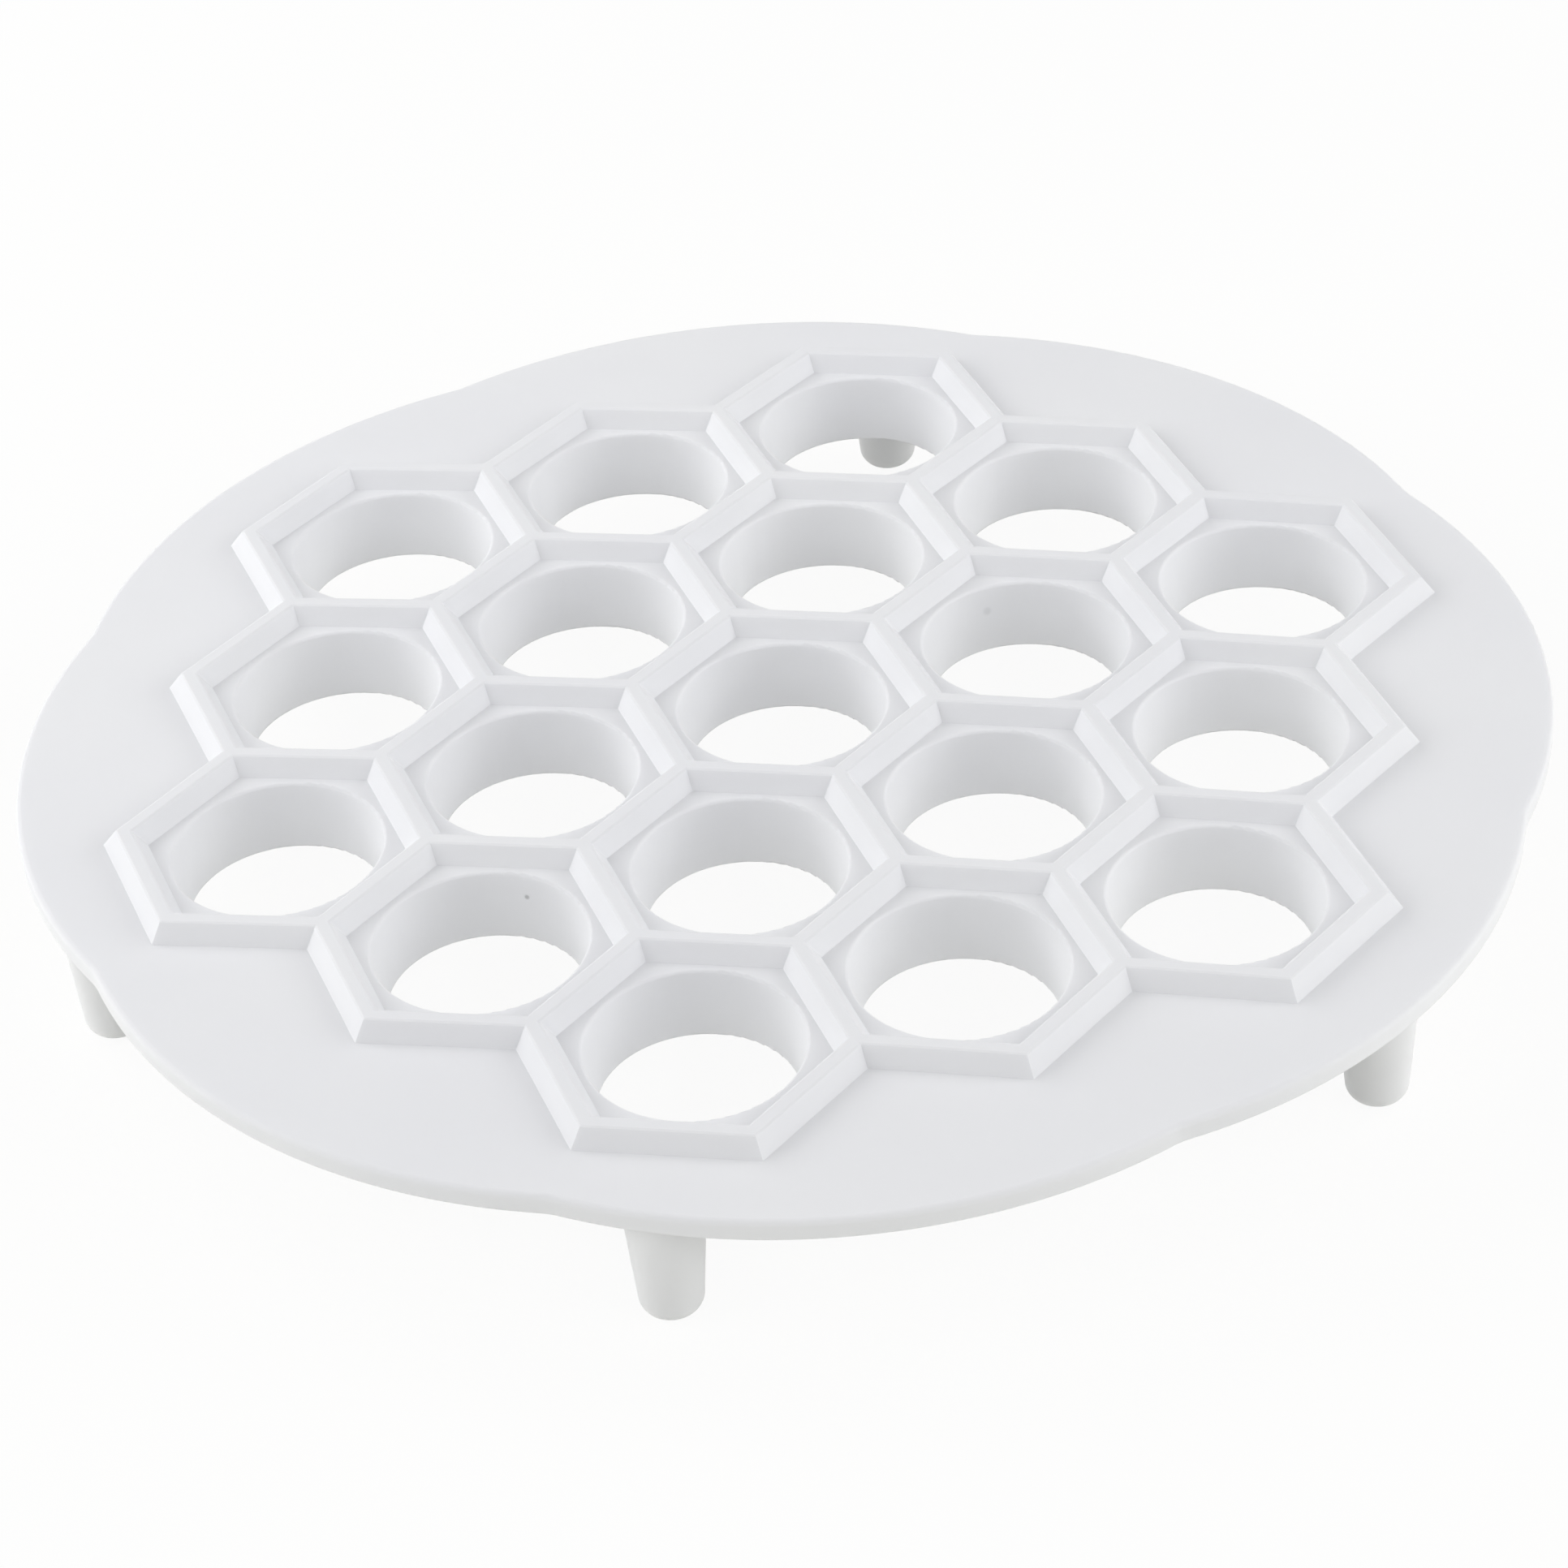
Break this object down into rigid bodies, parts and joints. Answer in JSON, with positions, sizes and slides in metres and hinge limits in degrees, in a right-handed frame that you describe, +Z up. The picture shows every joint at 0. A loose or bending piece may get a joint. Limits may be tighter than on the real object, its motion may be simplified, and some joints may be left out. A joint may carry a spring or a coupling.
{
  "type": "ravioli tray",
  "caption": "Round white plastic ravioli tray: honeycomb of raised hexagonal cutting frames around tapered drop-through holes, on six short legs.",
  "frame": {"origin": "on the surface the tray stands on, below the middle of the plate", "axes": "+Z up through the plate, -Y towards the front leg, +X to the right"},
  "size_m": [0.242, 0.242, 0.0296],
  "materials": {
    "tray_plastic": "white, satin",
    "leg_plastic": "white, satin"
  },
  "bodies": {
    "root": {"tray": "tray_plastic", "front_leg": "leg_plastic", "front_right_leg": "leg_plastic", "back_right_leg": "leg_plastic", "back_leg": "leg_plastic", "back_left_leg": "leg_plastic", "front_left_leg": "leg_plastic"}
  },
  "joints": []
}
